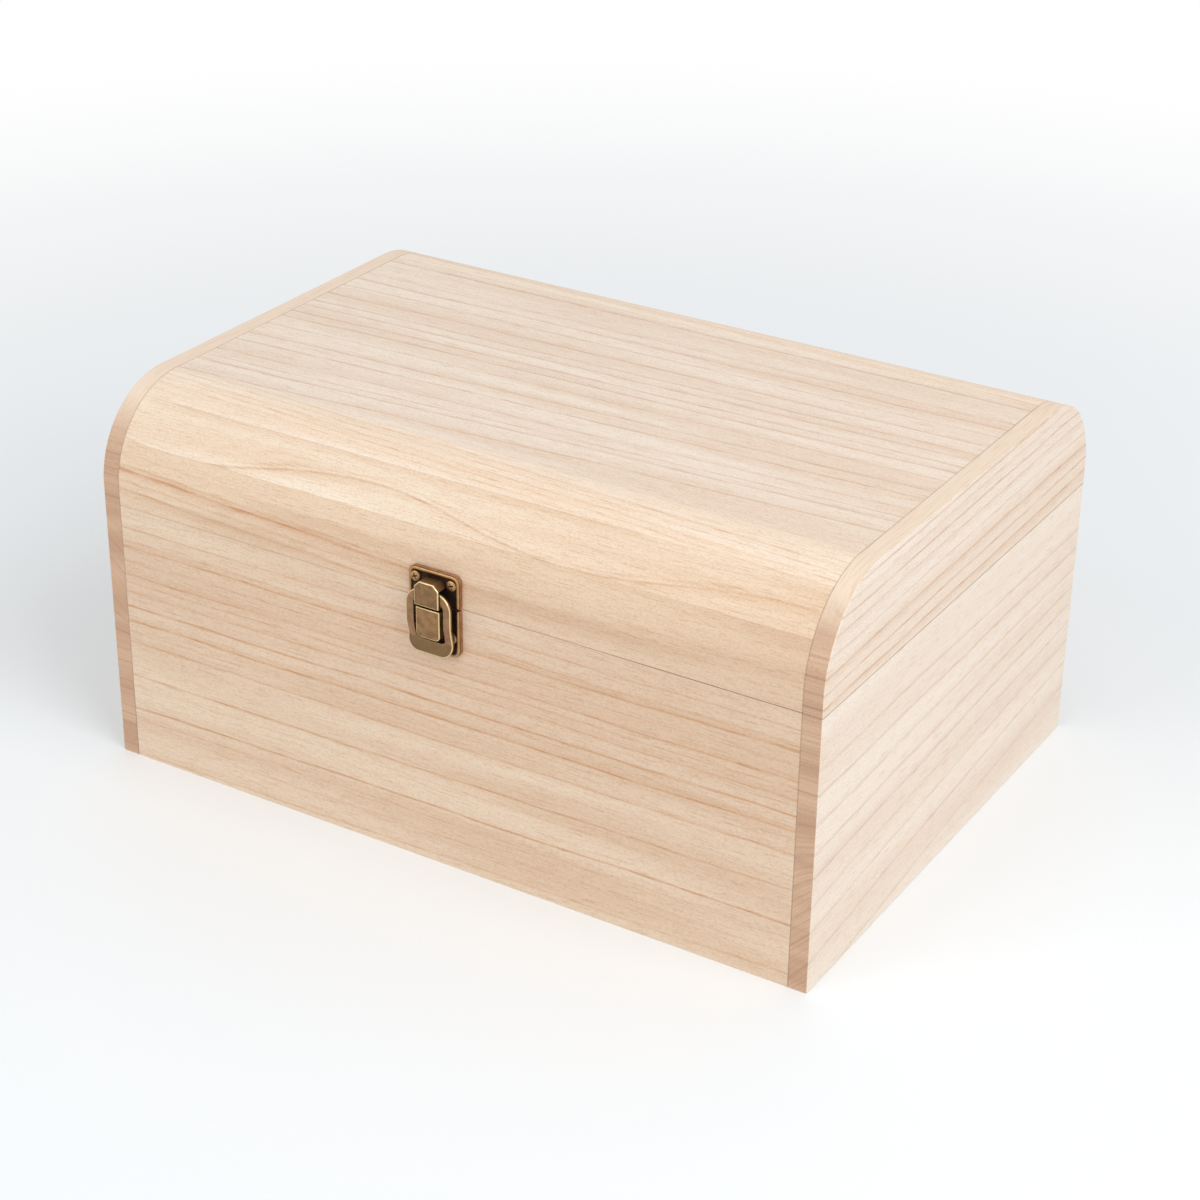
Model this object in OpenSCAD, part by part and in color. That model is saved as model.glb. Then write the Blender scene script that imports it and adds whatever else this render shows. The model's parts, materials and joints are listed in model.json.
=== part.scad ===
// Wooden keepsake box with a rounded lid, a toggle latch and two stop hinges.
// Millimetres: X runs along the front, Y from front to back, Z up.
// The origin is the centre of the underside, and the front face is at -Y.

/* [Box] */
// Outer width, along the front
body_w = 360; // [260:1:480]
// Outer depth, from front to back
body_d = 258; // [180:1:340]
// Height of the base, from the underside to the seam
base_h = 128.5; // [70:0.5:200]
// Height of the lid above the seam
lid_h = 51; // [47:0.5:80]
// Thickness of the wall and lid boards
board_t = 9; // [8:0.5:14]
// Outer radius of the rounded front and back of the lid
lid_r = 43; // [24:0.5:46]

/* [Board joints] */
// Thickness of the bottom panel
bottom_t = 4; // [3:0.5:6]
// Depth of the rebate that holds the bottom panel
rebate_d = 5; // [3:0.5:6]
// Play round the bottom panel in its rebate
panel_play = 0.2; // [0.1:0.05:0.5]
// Angle of the lid's curve that each rail takes up, and the same again for the low stave above it
stave_a = 30; // [24:1:36]
// Flat stretch of each high stave past the curve
stave_flat = 0.5; // [0:0.5:20]
// Thickness of the tongues on the top board
tongue_t = 3; // [2:0.25:4]
// Length of the tongues on the top board
tongue_l = 4; // [2:0.5:6]
// Play round each tongue in its groove
tongue_play = 0.1; // [0.05:0.05:0.3]

/* [Latch plates] */
// Width of the two latch plates
plate_w = 25.4; // [25:0.1:30]
// Height of the catch plate above the seam
catch_h = 15.2; // [14.8:0.1:20]
// Depth of the base plate below the seam
keep_h = 22.6; // [22:0.1:30]
// Thickness of the plates' floor
plate_t = 0.9; // [0.7:0.1:1.2]
// How far the plates' pressed floor stands out from the wood
floor_out = 1.9; // [1.7:0.1:2.1]
// Gap between each plate and the seam
plate_gap = 0.4; // [0.2:0.1:0.8]
// Radius of the plates' outer corners
plate_r = 3.5; // [2.5:0.1:4]
// Height of the rounded rim on the plates
rim_h = 2.5; // [2.2:0.1:2.8]
// Width of the rounded rim on the plates
rim_w = 1.7; // [1.4:0.1:2]

/* [Catch hood] */
// Thickness of the sheet of the hood and the lever
sheet_t = 1; // [0.8:0.1:1.1]
// Width of the hood
hood_w = 12.1; // [11:0.1:12.6]
// How far the hood's face stands out from the wood
hood_out = 8.1; // [7.9:0.1:9.1]
// Height of the hood's top above the seam
hood_top = 11.9; // [11.3:0.1:12.2]
// Gap between the seam and the hood's lower edge
hood_gap = 0.8; // [0.6:0.1:1]
// Width of the slanted corners of the hood
hood_cut_w = 2.6; // [1.5:0.1:3]
// Height of the slanted corners of the hood
hood_cut_h = 2.6; // [1.5:0.1:2.8]
// Length of the lip that the loop's bar catches
lip_l = 1; // [0.8:0.1:1.2]
// Width of the hood's tab in the catch plate
tab_w = 6; // [4:0.5:7]
// Height of the slot above the tab that stays open
slot_open = 0.6; // [0.4:0.1:0.8]

/* [Lever] */
// Width of the lever
lever_w = 11.8; // [11:0.1:12.2]
// How far the lever's face stands out from the wood
lever_out = 7.2; // [7.1:0.1:7.6]
// Gap between the seam and the top of the lever
lever_gap = 0.6; // [0.5:0.1:1.3]
// Height of the lever
lever_h = 13.8; // [12:0.1:14.2]
// Radius of the lever's lower corners
lever_r = 2.2; // [1:0.1:3]
// How far the lever pin's axis stands out from the wood
pin_out = 4.7; // [4.6:0.05:4.9]
// Depth of the lever pin's axis below the seam
pin_drop = 3.8; // [3.6:0.1:4.2]
// Diameter of the lever pin
pin_d = 1.5; // [1.2:0.1:1.6]
// Radius of the ears round the lever pin
ear_r = 1.2; // [1.15:0.05:1.3]
// Distance of the loop rivets' axis below the lever pin's
rivet_drop = 2.4; // [2.2:0.1:2.6]
// Distance of the loop rivets' axis behind the lever pin's
rivet_back = 0.2; // [0:0.1:0.4]
// Diameter of the loop rivets
rivet_d = 1.2; // [1:0.1:1.4]
// Running clearance of pins and rivets, on the radius
run_play = 0.04; // [0.02:0.01:0.08]
// Gap between the sides of neighbouring latch pieces
side_play = 0.4; // [0.3:0.05:0.6]

/* [Loop] */
// Width of the loop
loop_w = 22.2; // [21.8:0.1:23]
// Thickness of the loop
loop_t = 1.2; // [1:0.1:1.2]
// Height of the loop's top edge above the seam
loop_top = 8; // [7.2:0.1:8]
// Depth of the loop's lower edge below the seam
loop_end = 22; // [21.6:0.1:24]
// Width of the loop's arms
arm_w = 3.7; // [3:0.1:3.8]
// Width of the loop's lower band
band_w = 6.1; // [5:0.1:6.4]
// Radius of the window's lower corners
window_r = 2.2; // [1:0.1:3]
// Radius of the window's upper corners, beside the lip
window_top_r = 1.2; // [0.8:0.1:1.3]
// Radius of the loop's upper corners
loop_top_r = 8; // [5:0.1:9]
// Radius of the loop's lower corners
loop_end_r = 5.5; // [4:0.1:6]
// Gap between the loop's bar and the lip below it, and the hood's face in front of it
bar_play = 0.3; // [0.2:0.05:0.4]
// Depth below the seam at which the arms bend in towards the wood
arm_drop = 7.9; // [7.7:0.1:9]
// How far the bend brings the lower end of the arms in
arm_in = 1.6; // [0:0.1:1.8]
// Depth below the seam at which the lower band bends out again
flare_drop = 15.6; // [14:0.1:17]
// Slant of the lower band, outwards
flare_a = 8; // [0:1:15]

/* [Hinges] */
// Length of each hinge along the seam
hinge_l = 40; // [30:1:60]
// Height of each hinge leaf from the seam
leaf_h = 14; // [13:0.5:18]
// Thickness of the hinge leaves
leaf_t = 1; // [0.8:0.1:1.4]
// Radius of the hinge barrels
barrel_r = 2; // [1.8:0.1:2.5]
// Diameter of the hinge pins
hinge_pin_d = 2; // [1.4:0.1:2.4]
// Number of knuckles in each hinge
knuckles = 5; // [3:2:7]
// Gap between neighbouring knuckles
knuckle_gap = 0.2; // [0.1:0.05:0.4]
// Gap between a barrel and the wood behind it
barrel_gap = 0.3; // [0.2:0.05:0.6]
// Distance of each hinge's middle from the end of the box
hinge_inset = 62; // [40:1:90]
// Angle at which the stop lugs meet and the lid is fully open
stop_a = 105; // [95:1:115]
// Reach of the stop lugs from the hinge axis
stop_reach = 6.5; // [5.5:0.5:9]
// Radius of the far corners of the hinge leaves
leaf_r = 2; // [1:0.5:4]

/* [Screws] */
// Diameter of the screw heads
head_d = 4.6; // [4:0.1:4.7]
// Height of the screw heads
head_h = 1.4; // [1:0.1:1.5]
// Diameter of the screw shanks
shank_d = 1.8; // [1.4:0.1:2.2]
// Length of the screws under the head
screw_l = 7; // [5:0.5:7.5]
// Distance of the latch screws from the plates' middle line
latch_screw_x = 9; // [8.9:0.1:9.2]
// Height of the catch plate's screws above the seam
catch_screw_z = 10.8; // [10:0.1:11]
// Depth of the base plate's screws below the seam
keep_screw_z = 13.6; // [13:0.1:17]
// Distance of the hinge screws from the hinge's middle
hinge_screw_x = 12; // [8:0.5:12.5]
// Distance of the hinge screws from the seam
hinge_screw_z = 9; // [8:0.5:11]

/* [Hidden] */
$fn = 48;
over = 1;

// Levels and half sizes of the box
total_h = base_h + lid_h;
half_w = body_w / 2;
half_d = body_d / 2;
inner_w = body_w - 2 * board_t;
inner_d = body_d - 2 * board_t;
stave_end = half_d - lid_r - stave_flat;
tongue_z = total_h - board_t / 2;

// Fits of fixed metal pieces
fixed_play = 0.02;
hole_play = 0.1;
head_play = 0.15;
pilot_end = 0.5;

// The heads of the pins and rivets
pin_head_t = 0.6;
pin_head_over = 0.5;
rivet_head_t = 0.5;
rivet_head_gap = 0.1;

// The screws
recess_l = head_d * 0.58;
recess_w = head_d * 0.14;
recess_low = head_h * 0.4;
shank_top = head_h / 3;
recess_turn = 20;
tip_d = 0.3;

// The latch: outs are counted from the wood of the front, heights from the seam
hood_in = hood_out - sheet_t;
corner_share = tan(45 / 2);
shoulder_h = 0.2;
bar_out = hood_in - bar_play;
bar_in = bar_out - loop_t;
bar_low = hood_gap + sheet_t + bar_play;
rivet_out = pin_out - rivet_back;
rivet_z = -pin_drop - rivet_drop;
lever_half = lever_w / 2;
lever_in = lever_out - sheet_t;
lever_low = -lever_gap - lever_h;
floor_gap = 0.3;
lever_turn_r = pin_out - floor_out - floor_gap;
lever_top_r = 0.1;
wall_taper_h = 4;
wall_end_w = 1;
ear_x = lever_half - sheet_t - side_play;
window_half = loop_w / 2 - arm_w;
lug_inset = 0.1;
lug_wall = 0.9;
rivet_head_over = 0.4;
lug_x = window_half + lug_inset;
lug_r = rivet_d / 2 + lug_wall;
rivet_head_r = rivet_d / 2 + rivet_head_over;
rivet_end = lug_x + loop_t + rivet_head_gap + rivet_head_t;

// The hinges: outs are counted from the wood of the back, heights from the seam
axis_out = barrel_r + barrel_gap;
leaf_start = axis_out + barrel_gap;
knuckle_l = hinge_l / knuckles;
stop_slack_a = 0.2;
stop_half_a = (180 - stop_a) / 2 - stop_slack_a;
hinge_x = half_w - hinge_inset;

// ---- Ways to draw ----

// Extrudes a profile drawn as [Y, Z] along X from x0 to x1
module along_x(x0, x1) {
    translate([x0, 0, 0])
        rotate([90, 0, 90])
            linear_extrude(x1 - x0)
                children();
}

// Extrudes a latch profile drawn as [out, height] along X from x0 to x1
module latch_side(x0, x1) {
    translate([x1, -half_d, base_h])
        rotate([90, 0, -90])
            linear_extrude(x1 - x0)
                children();
}

// Extrudes a latch view drawn as [X, height] from out0 to out1
module latch_front(out0, out1) {
    translate([0, -half_d - out0, base_h])
        rotate([90, 0, 0])
            linear_extrude(out1 - out0)
                children();
}

// Round bar along X on the latch
module latch_bar(x0, x1, out, height, r) {
    latch_side(x0, x1)
        translate([out, height])
            circle(r);
}

// Extrudes a hinge profile drawn as [out, height] along X from x0 to x1
module hinge_side(x0, x1) {
    translate([x0, half_d, base_h])
        rotate([90, 0, 90])
            linear_extrude(x1 - x0)
                children();
}

// Stands children on the front, pointing out of it
module on_front(x, out, height) {
    translate([x, -half_d - out, base_h + height])
        rotate([90, 0, 0])
            children();
}

// Stands children on the back, pointing out of it
module on_back(x, out, height) {
    translate([x, half_d + out, base_h + height])
        rotate([-90, 0, 0])
            children();
}

// Cuboid from its lowest corner
module block(corner, size) {
    translate(corner)
        cube(size);
}

// Rectangle of half width half from y0 to y1, with one radius for its low and one for its high corners
module round_rect(half, y0, y1, r_low, r_high) {
    middle = (y0 + y1) / 2;
    translate([-half, y0 + r_low])
        square([2 * half, y1 - y0 - r_low - r_high]);
    translate([r_low - half, y0])
        square([2 * (half - r_low), middle - y0]);
    translate([r_high - half, middle])
        square([2 * (half - r_high), y1 - middle]);
    for (side = [-1, 1]) {
        translate([side * (half - r_low), y0 + r_low])
            circle(r_low);
        translate([side * (half - r_high), y1 - r_high])
            circle(r_high);
    }
}

// ---- Screws and their holes ----

// Wood screw along Z with a domed head, the underside of the head at the origin
module screw() {
    difference() {
        union() {
            translate([0, 0, shank_d - screw_l])
                cylinder(d = shank_d, h = screw_l - shank_d + shank_top, $fn = 24);
            translate([0, 0, -screw_l])
                cylinder(d1 = tip_d, d2 = shank_d, h = shank_d, $fn = 24);
            rotate_extrude($fn = 32)
                intersection() {
                    square([head_d / 2, head_h]);
                    translate([0, head_h - head_d])
                        circle(head_d, $fn = 96);
                }
        }
        for (turn = [recess_turn, recess_turn + 90])
            rotate(turn)
                block([-recess_l / 2, -recess_w / 2, recess_low],
                      [recess_l, recess_w, head_h]);
    }
}

// Hole for a screw's shank, down to a depth
module shank_hole(depth, play) {
    translate([0, 0, -depth])
        cylinder(r = shank_d / 2 + play, h = depth + over, $fn = 24);
}

// Round seat that a latch plate's rim leaves for a screw's head
module head_seat() {
    cylinder(d = head_d + 2 * head_play, h = rim_h);
}

// Hole in the wood for a screw whose head sits at a height above it
module pilot_hole(seat) {
    shank_hole(screw_l - seat + pilot_end, fixed_play);
}

// Repeats children at the two latch screws of one height
module at_latch_screws(height, out) {
    for (side = [-1, 1])
        on_front(side * latch_screw_x, out, height)
            children();
}

// Repeats children at the four hinge screws of one height
module at_hinge_screws(height, out) {
    for (end = [-1, 1], side = [-1, 1])
        on_back(end * hinge_x + side * hinge_screw_x, out, height)
            children();
}

// ---- Boards of the base ----

// Space of the rebate for the bottom panel, cut out of all four walls
module bottom_rebate() {
    block([-inner_w / 2 - rebate_d, -inner_d / 2 - rebate_d, -over],
          [inner_w + 2 * rebate_d, inner_d + 2 * rebate_d, bottom_t + over]);
}

module base_front_board() {
    color("burlywood")
        difference() {
            block([-inner_w / 2, -half_d, 0], [inner_w, board_t, base_h]);
            bottom_rebate();
            at_latch_screws(-keep_screw_z, 0)
                pilot_hole(floor_out);
        }
}

module base_back_board() {
    color("burlywood")
        difference() {
            block([-inner_w / 2, half_d - board_t, 0], [inner_w, board_t, base_h]);
            bottom_rebate();
            at_hinge_screws(-hinge_screw_z, 0)
                pilot_hole(leaf_t);
        }
}

// End panel of the base; side is -1 on the left and 1 on the right
module base_end(side) {
    color("wheat")
        difference() {
            block([side > 0 ? half_w - board_t : -half_w, -half_d, 0], [board_t, body_d, base_h]);
            bottom_rebate();
        }
}

module base_left_end() {
    base_end(-1);
}

module base_right_end() {
    base_end(1);
}

module base_bottom_panel() {
    edge = rebate_d - panel_play;
    color("tan")
        block([-inner_w / 2 - edge, -inner_d / 2 - edge, 0],
              [inner_w + 2 * edge, inner_d + 2 * edge, bottom_t]);
}

// ---- Boards of the lid ----

// End view of the lid as [Y, Z], drawn in by a margin at the front, the back and the top
module lid_outline(margin) {
    low = base_h;
    side_h = lid_h - lid_r;
    translate([margin - half_d, low])
        square([body_d - 2 * margin, side_h]);
    translate([lid_r - half_d, low])
        square([body_d - 2 * lid_r, lid_h - margin]);
    intersection() {
        translate([-half_d, low])
            square([body_d, lid_h]);
        union()
            for (side = [-1, 1])
                translate([side * (half_d - lid_r), low + side_h])
                    circle(lid_r - margin, $fn = 180);
    }
}

// Region that one rail or stave takes up as [Y, Z], between two angles about the curve's centre
module stave_region(a0, a1) {
    angles = [a0, (a0 + a1) / 2, a1];
    translate([half_d - lid_r, total_h - lid_r])
        polygon(concat([[0, 0]], [for (a = angles) body_d * [cos(a), sin(a)]]));
}

// Section of a rail or stave: its share of the shell, less the groove for the top board's tongue
module stave_section(side, a0, a1) {
    groove_t = tongue_t + 2 * tongue_play;
    groove_l = tongue_l + tongue_play;
    mirror([side > 0 ? 0 : 1, 0])
        difference() {
            intersection() {
                difference() {
                    lid_outline(0);
                    lid_outline(board_t);
                }
                translate([stave_end, base_h])
                    square([half_d - stave_end, lid_h]);
                stave_region(a0, a1);
            }
            translate([stave_end - over, tongue_z - groove_t / 2])
                square([groove_l + over, groove_t]);
        }
}

// Rail or stave of the lid between two angles; side is -1 at the front and 1 at the back
module lid_stave(side, a0, a1) {
    color("burlywood")
        along_x(-inner_w / 2, inner_w / 2)
            stave_section(side, a0, a1);
}

module lid_front_rail() {
    difference() {
        lid_stave(-1, -90, stave_a);
        at_latch_screws(catch_screw_z, 0)
            pilot_hole(floor_out);
    }
}

module lid_back_rail() {
    difference() {
        lid_stave(1, -90, stave_a);
        at_hinge_screws(hinge_screw_z, 0)
            pilot_hole(leaf_t);
    }
}

module lid_front_low_stave() {
    lid_stave(-1, stave_a, 2 * stave_a);
}

module lid_front_high_stave() {
    lid_stave(-1, 2 * stave_a, 180);
}

module lid_back_low_stave() {
    lid_stave(1, stave_a, 2 * stave_a);
}

module lid_back_high_stave() {
    lid_stave(1, 2 * stave_a, 180);
}

module lid_top_board() {
    color("bisque")
        along_x(-inner_w / 2, inner_w / 2) {
            translate([-stave_end, total_h - board_t])
                square([2 * stave_end, board_t]);
            translate([-stave_end - tongue_l, tongue_z - tongue_t / 2])
                square([2 * (stave_end + tongue_l), tongue_t]);
        }
}

// End panel of the lid; side is -1 on the left and 1 on the right
module lid_end(side) {
    x0 = side > 0 ? half_w - board_t : -half_w;
    color("wheat")
        along_x(x0, x0 + board_t)
            lid_outline(0);
}

module lid_left_end() {
    lid_end(-1);
}

module lid_right_end() {
    lid_end(1);
}

// ---- Latch plates ----

// View of a latch plate as [X, height], from its edge at the seam to its far edge
module plate_view(near, far) {
    near_r = rim_w / 2;
    if (far > near)
        round_rect(plate_w / 2, near, far, near_r, plate_r);
    else
        round_rect(plate_w / 2, far, near, plate_r, near_r);
}

// Floor of a latch plate, pressed out from the wood
module plate_floor(near, far) {
    latch_front(floor_out - plate_t, floor_out)
        plate_view(near, far);
}

// Section of the rim as [across, out], which stands on the wood and has a round top
module rim_section() {
    intersection() {
        translate([-rim_w / 2, 0])
            square([rim_w, rim_h]);
        union() {
            translate([0, rim_h - rim_w / 2])
                circle(rim_w / 2);
            translate([-rim_w / 2, 0])
                square([rim_w, rim_h - rim_w / 2]);
        }
    }
}

// Rim on the two sides and the far edge of a latch plate, with round ends beside the seam
module plate_rim(near, far) {
    up = far > near ? 1 : -1;
    line_x = plate_w / 2 - rim_w / 2;
    corner_x = plate_w / 2 - plate_r;
    start = near + up * rim_w / 2;
    corner = far - up * plate_r;
    on_front(0, 0, 0) {
        for (side = [-1, 1]) {
            translate([side * line_x, min(start, corner), 0])
                rotate([90, 0, 180])
                    linear_extrude(abs(corner - start))
                        rim_section();
            translate([side * line_x, start, 0])
                rotate_extrude()
                    intersection() {
                        rim_section();
                        square([rim_w, rim_h]);
                    }
            translate([side * corner_x, corner, 0])
                rotate(side * up > 0 ? 90 - 90 * side : 180 + 90 * side)
                    rotate_extrude(angle = 90)
                        translate([plate_r - rim_w / 2, 0])
                            rim_section();
        }
        translate([-corner_x, far - up * rim_w / 2, 0])
            rotate([90, 0, 90])
                linear_extrude(2 * corner_x)
                    rim_section();
    }
}

module catch_plate() {
    color("darkkhaki")
        difference() {
            union() {
                plate_floor(plate_gap, catch_h);
                plate_rim(plate_gap, catch_h);
            }
            at_latch_screws(catch_screw_z, floor_out) {
                shank_hole(plate_t + over, hole_play);
                head_seat();
            }
            latch_front(-over, floor_out + over)
                translate([-tab_w / 2 - fixed_play, hood_top - sheet_t - fixed_play])
                    square([tab_w + 2 * fixed_play, sheet_t + fixed_play + slot_open]);
        }
}

// Ear on the base plate that holds the lever pin; side is -1 on the left and 1 on the right
module pin_ear(side) {
    x0 = side > 0 ? ear_x - sheet_t : -ear_x;
    latch_side(x0, x0 + sheet_t) {
        translate([pin_out, -pin_drop])
            circle(ear_r);
        translate([floor_out - plate_t / 2, -pin_drop - ear_r])
            square([pin_out - floor_out + plate_t / 2, 2 * ear_r]);
    }
}

module latch_base_plate() {
    color("darkkhaki")
        difference() {
            union() {
                plate_floor(-plate_gap, -keep_h);
                plate_rim(-plate_gap, -keep_h);
                pin_ear(-1);
                pin_ear(1);
            }
            at_latch_screws(-keep_screw_z, floor_out) {
                shank_hole(plate_t + over, hole_play);
                head_seat();
            }
            latch_bar(-ear_x - over, ear_x + over, pin_out, -pin_drop, pin_d / 2 + fixed_play);
        }
}

module catch_screws() {
    color("goldenrod")
        at_latch_screws(catch_screw_z, floor_out)
            screw();
}

module latch_base_screws() {
    color("goldenrod")
        at_latch_screws(-keep_screw_z, floor_out)
            screw();
}

// ---- Catch hood ----

// View of the hood as [X, height], drawn in by a margin, down to a lower edge
module hood_view(margin, low) {
    half = hood_w / 2 - margin;
    half_top = hood_w / 2 - hood_cut_w - margin * corner_share;
    top = hood_top - margin;
    shoulder = hood_top - hood_cut_h - margin * corner_share;
    polygon([[-half, low], [half, low], [half, shoulder], [half_top, top],
             [-half_top, top], [-half, shoulder]]);
}

// Bent sheet over the end of the loop: face, roof and slanted corners, open at the sides
module catch_hood() {
    side_top = hood_top - hood_cut_h - shoulder_h;
    color("darkkhaki") {
        difference() {
            latch_front(floor_out, hood_out)
                hood_view(0, hood_gap);
            latch_front(floor_out - over, hood_in)
                hood_view(sheet_t, hood_gap - over);
            latch_front(floor_out - over, hood_in)
                translate([-hood_w, hood_gap - over])
                    square([2 * hood_w, side_top - hood_gap + over]);
        }
        latch_front(hood_in - lip_l, hood_out)
            translate([-hood_w / 2, hood_gap])
                square([hood_w, sheet_t]);
        latch_front(floor_out - plate_t, floor_out + sheet_t)
            translate([-tab_w / 2, hood_top - sheet_t])
                square([tab_w, sheet_t]);
    }
}

// ---- Lever ----

// View of the lever as [X, height], drawn in by a margin at the sides and the lower end
module lever_view(margin, top) {
    round_rect(lever_half - margin, lever_low + margin, top, lever_r - margin / 2, lever_top_r);
}

// The lever as a full block: round about the pin, with a back that tapers down
module lever_block() {
    wall_in = pin_out - lever_turn_r;
    latch_side(-lever_half, lever_half)
        polygon([[lever_in - sheet_t / 4, -lever_gap], [lever_out, -lever_gap],
                 [lever_out, lever_low], [lever_in - wall_end_w, lever_low],
                 [wall_in + wall_end_w, lever_low + wall_taper_h],
                 [wall_in + fixed_play, -pin_drop - lever_turn_r / 8], [pin_out, -pin_drop]]);
    latch_bar(-lever_half, lever_half, pin_out, -pin_drop, lever_turn_r);
}

module latch_lever() {
    color("darkkhaki")
        difference() {
            intersection() {
                latch_front(0, lever_out)
                    lever_view(0, -lever_gap);
                lever_block();
            }
            latch_front(-over, lever_in)
                lever_view(sheet_t, over);
            latch_bar(-lever_half - over, lever_half + over, pin_out, -pin_drop,
                      pin_d / 2 + run_play);
            latch_bar(-lever_half - over, lever_half + over, rivet_out, rivet_z,
                      rivet_d / 2 + fixed_play);
        }
}

module lever_pin() {
    half = lever_half + side_play / 4;
    color("goldenrod")
        latch_bar(-half, half, pin_out, -pin_drop, pin_d / 2);
}

// Shouldered rivets from the lever's walls out through the loop's lugs
module loop_rivets() {
    color("goldenrod")
        for (side = [0, 1])
            mirror([side, 0, 0]) {
                latch_bar(lever_half - sheet_t, rivet_end, rivet_out, rivet_z, rivet_d / 2);
                latch_bar(lever_half, lug_x - rivet_head_gap, rivet_out, rivet_z, rivet_head_r);
                latch_bar(rivet_end - rivet_head_t, rivet_end, rivet_out, rivet_z, rivet_head_r);
            }
}

// ---- Loop ----

// View of the loop as [X, height], as if it were flat
module loop_view() {
    difference() {
        round_rect(loop_w / 2, -loop_end, loop_top, loop_end_r, loop_top_r);
        round_rect(window_half, band_w - loop_end, bar_low, window_r, window_top_r);
    }
}

// The loop's sheet as a plain strip, bent in below the rivets and out again at its lower band
module loop_strip() {
    flare = (loop_end - flare_drop) * tan(flare_a);
    shifts = [[0, loop_top + over], [0, -arm_drop], [-arm_in, -flare_drop],
              [flare - arm_in, -loop_end]];
    front = [for (shift = shifts) [bar_out, 0] + shift];
    back = [for (i = [len(shifts) - 1 : -1 : 0]) [bar_in, 0] + shifts[i]];
    latch_side(-loop_w / 2 - over, loop_w / 2 + over)
        polygon(concat(front, back));
}

// Lug behind an arm of the loop, round about the rivet
module loop_lug() {
    latch_side(lug_x, lug_x + loop_t) {
        translate([rivet_out, rivet_z])
            circle(lug_r);
        translate([rivet_out, rivet_z - lug_r])
            square([bar_out - loop_t / 2 - rivet_out, 2 * lug_r]);
    }
}

module latch_loop() {
    color("darkkhaki")
        difference() {
            union() {
                difference() {
                    loop_strip();
                    latch_front(0, 2 * lever_out)
                        difference() {
                            square(4 * loop_w, center = true);
                            loop_view();
                        }
                }
                for (side = [0, 1])
                    mirror([side, 0, 0])
                        loop_lug();
            }
            latch_bar(-loop_w, loop_w, rivet_out, rivet_z, rivet_d / 2 + run_play);
        }
}

// ---- Hinges ----

// Left end of a knuckle, counted from the middle of its hinge
function knuckle_x(i) = i * knuckle_l - hinge_l / 2;

// View of a leaf's plate as [X, distance from the seam], with its far corners rounded
module leaf_view() {
    intersection() {
        round_rect(hinge_l / 2, 0, leaf_h, leaf_r, leaf_r);
        translate([-hinge_l / 2, leaf_start])
            square([hinge_l, leaf_h]);
    }
}

// Section of a knuckle as [out, height]: the barrel and the strip that joins it to its plate
module knuckle_section(up) {
    translate([axis_out, 0])
        circle(barrel_r);
    translate([0, up > 0 ? 0 : -leaf_start - over])
        square([leaf_t, leaf_start + over]);
}

// Stop lug as [out, height]: its slanted edge meets the other leaf's when the lid is open
module stop_section(up) {
    slant = [sin(stop_half_a), up * cos(stop_half_a)];
    axis = [axis_out, 0];
    inner = axis + barrel_r * slant;
    outer = axis + stop_reach * slant;
    difference() {
        polygon([[leaf_t / 2, inner[1]], inner, outer, [leaf_t / 2, outer[1] + up * leaf_r]]);
        translate(axis)
            circle(axis_out);
    }
}

// One hinge leaf: end is -1 left or 1 right, up is 1 on the lid or -1 on the base
module hinge_leaf(end, up) {
    mid = end * hinge_x;
    first = up > 0 ? 1 : 0;
    color("darkkhaki")
        difference() {
            union() {
                on_back(mid, 0, 0)
                    rotate(up > 0 ? 180 : 0)
                        linear_extrude(leaf_t)
                            leaf_view();
                for (i = [first : 2 : knuckles - 1])
                    hinge_side(mid + knuckle_x(i) + knuckle_gap / 2,
                               mid + knuckle_x(i + 1) - knuckle_gap / 2)
                        knuckle_section(up);
                for (x = [mid - hinge_l / 2, mid + hinge_l / 2 - leaf_t])
                    hinge_side(x, x + leaf_t)
                        stop_section(up);
            }
            hinge_side(mid - hinge_l, mid + hinge_l)
                translate([axis_out, 0])
                    circle(hinge_pin_d / 2 + run_play);
            at_hinge_screws(up * hinge_screw_z, leaf_t)
                shank_hole(leaf_t + over, hole_play);
        }
}

// Pin of a hinge, with a head at each end
module hinge_pin(end) {
    mid = end * hinge_x;
    half = hinge_l / 2;
    color("goldenrod") {
        hinge_side(mid - half - pin_head_t, mid + half + pin_head_t)
            translate([axis_out, 0])
                circle(hinge_pin_d / 2);
        for (x = [mid - half - pin_head_t, mid + half])
            hinge_side(x, x + pin_head_t)
                translate([axis_out, 0])
                    circle(hinge_pin_d / 2 + pin_head_over);
    }
}

module hinge_base_leaf_left() {
    hinge_leaf(-1, -1);
}

module hinge_base_leaf_right() {
    hinge_leaf(1, -1);
}

module hinge_lid_leaf_left() {
    hinge_leaf(-1, 1);
}

module hinge_lid_leaf_right() {
    hinge_leaf(1, 1);
}

module hinge_pin_left() {
    hinge_pin(-1);
}

module hinge_pin_right() {
    hinge_pin(1);
}

module hinge_base_screws() {
    color("goldenrod")
        at_hinge_screws(-hinge_screw_z, leaf_t)
            screw();
}

module hinge_lid_screws() {
    color("goldenrod")
        at_hinge_screws(hinge_screw_z, leaf_t)
            screw();
}

base_front_board();
base_back_board();
base_left_end();
base_right_end();
base_bottom_panel();
latch_base_plate();
latch_base_screws();
lever_pin();
hinge_base_leaf_left();
hinge_base_leaf_right();
hinge_base_screws();
hinge_pin_left();
hinge_pin_right();
lid_front_rail();
lid_front_low_stave();
lid_front_high_stave();
lid_top_board();
lid_back_high_stave();
lid_back_low_stave();
lid_back_rail();
lid_left_end();
lid_right_end();
catch_plate();
catch_hood();
catch_screws();
hinge_lid_leaf_left();
hinge_lid_leaf_right();
hinge_lid_screws();
latch_lever();
loop_rivets();
latch_loop();
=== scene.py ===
"""A plain wooden keepsake box with a rounded lid, a brass toggle latch and stop hinges."""

import json
import math
from random import Random

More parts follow.
